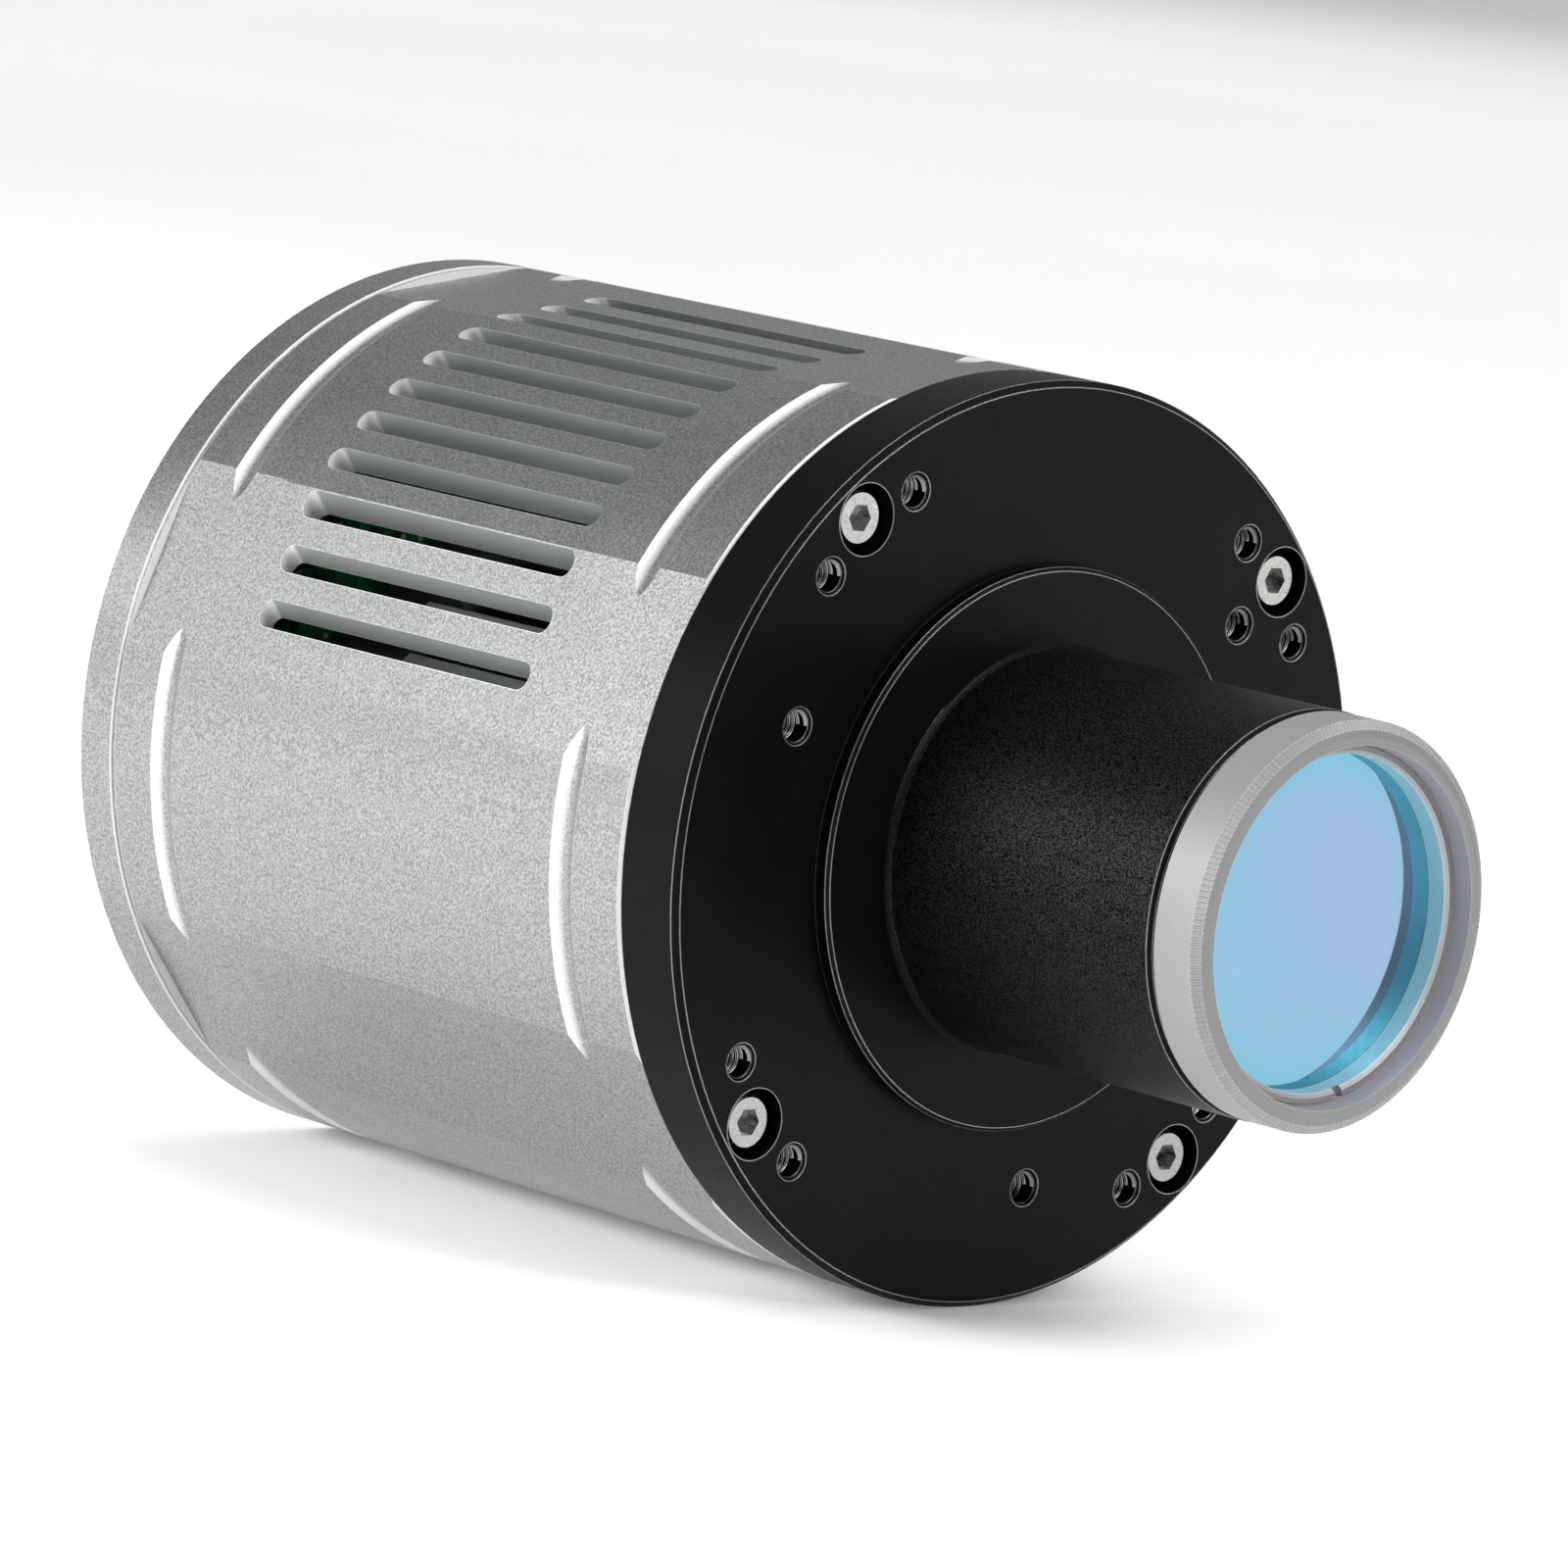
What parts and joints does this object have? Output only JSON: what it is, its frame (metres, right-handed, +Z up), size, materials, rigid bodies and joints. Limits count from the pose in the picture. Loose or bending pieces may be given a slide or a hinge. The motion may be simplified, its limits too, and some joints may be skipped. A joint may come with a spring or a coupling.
{
  "type": "cooled astronomy camera",
  "caption": "Cylindrical cooled astronomy camera: vented silver housing, black front plate, barrel nosepiece with a threaded filter, internal cooler, fan and sensor.",
  "frame": {"origin": "where the optical axis meets the front plate's front face", "axes": "-Y along the optical axis towards the telescope, +Z up, +X to the right when looking at the front"},
  "size_m": [0.073, 0.1058, 0.073],
  "materials": {
    "silver_anodised": "bead-blasted, clear anodised",
    "black_anodised": "satin black anodised",
    "filter_metal": "satin, machined",
    "filter_coating": "polished, dichroic coating",
    "screw_steel": "machined stainless",
    "seal_rubber": "matt",
    "clear_glass": "polished, anti-reflection coated",
    "heater_film": "polyimide film",
    "desiccant": "pressed tablet",
    "package_ceramic": "fired, matt",
    "sensor_silicon": "polished silicon",
    "board_green": "solder mask",
    "chip_black": "moulded epoxy",
    "capacitor_can": "drawn can",
    "ribbon_film": "polyimide film",
    "socket_ivory": "moulded",
    "copper": "machined copper",
    "alumina": "fired alumina",
    "telluride": "cast",
    "foam_grey": "closed-cell foam",
    "sink_aluminium": "extruded, plain",
    "fan_plastic": "moulded",
    "bronze": "sintered",
    "copper_winding": "enamelled wire",
    "ferrite": "bonded ferrite",
    "shaft_steel": "ground",
    "brass_plain": "turned",
    "socket_shell": "nickel plated",
    "socket_blue": "moulded",
    "socket_black": "moulded"
  },
  "bodies": {
    "camera_body": {"front_plate": "black_anodised", "front_plate_screws": "screw_steel", "housing": "silver_anodised", "window_gasket": "seal_rubber", "sensor_window": "clear_glass", "window_heater": "heater_film", "sensor_chamber": "black_anodised", "chamber_front_seal": "seal_rubber", "chamber_rear_seal": "seal_rubber", "desiccant_tablets": "desiccant", "sensor_cover_glass": "clear_glass", "sensor_package": "package_ceramic", "sensor_die": "sensor_silicon", "sensor_board": "board_green", "sensor_board_screws": "screw_steel", "sensor_ribbon": "ribbon_film", "ribbon_sockets": "socket_ivory", "cold_finger": "copper", "temperature_probe": "package_ceramic", "peltier_plates": "alumina", "peltier_elements": "telluride", "insulation_ring": "foam_grey", "cooling_stack_screws": "screw_steel", "heat_sink": "sink_aluminium", "fan_frame": "fan_plastic", "fan_bearing": "bronze", "fan_stator": "copper_winding", "fan_screws": "screw_steel", "main_board": "board_green", "board_chips": "chip_black", "board_capacitors": "capacitor_can", "board_standoffs": "brass_plain", "board_screws": "screw_steel", "usb_shell": "socket_shell", "usb_insulator": "socket_blue", "power_jack": "socket_black", "power_pin": "shaft_steel", "rear_cover": "silver_anodised", "rear_cover_screws": "screw_steel"},
    "fan_spinner": {"fan_rotor": "fan_plastic", "fan_magnet": "ferrite", "fan_shaft": "shaft_steel"},
    "nosepiece_travel": {"nosepiece_seal": "seal_rubber"},
    "nosepiece": {"nosepiece": "black_anodised"},
    "filter_travel": {"filter_glass": "filter_coating"},
    "filter_cell": {"filter_cell": "filter_metal", "filter_retaining_ring": "filter_metal"}
  },
  "joints": [
    {"name": "fan_spin", "type": "hinge", "parent": "camera_body", "child": "fan_spinner", "pos_m": [0, 0.0478, 0], "axis": [0, 1, 0], "continuous": true},
    {"name": "nosepiece_travel", "type": "slide", "parent": "camera_body", "child": "nosepiece_travel", "axis": [0, -1, 0], "range_m": [0, 0.00376]},
    {"name": "nosepiece_turn", "type": "hinge", "parent": "nosepiece_travel", "child": "nosepiece", "pos_m": [0, 0, 0], "axis": [0, -1, 0], "range_deg": [0, 1800]},
    {"name": "filter_travel", "type": "slide", "parent": "nosepiece", "child": "filter_travel", "axis": [0, -1, 0], "range_m": [0, 0.00241]},
    {"name": "filter_turn", "type": "hinge", "parent": "filter_travel", "child": "filter_cell", "pos_m": [0, -0.03, 0], "axis": [0, -1, 0], "range_deg": [0, 1440]}
  ],
  "couplings": [
    {"joint": "nosepiece_travel", "follows": "nosepiece_turn", "m_per_rad": 0.00011937},
    {"joint": "filter_travel", "follows": "filter_turn", "m_per_rad": 0.000095493}
  ]
}
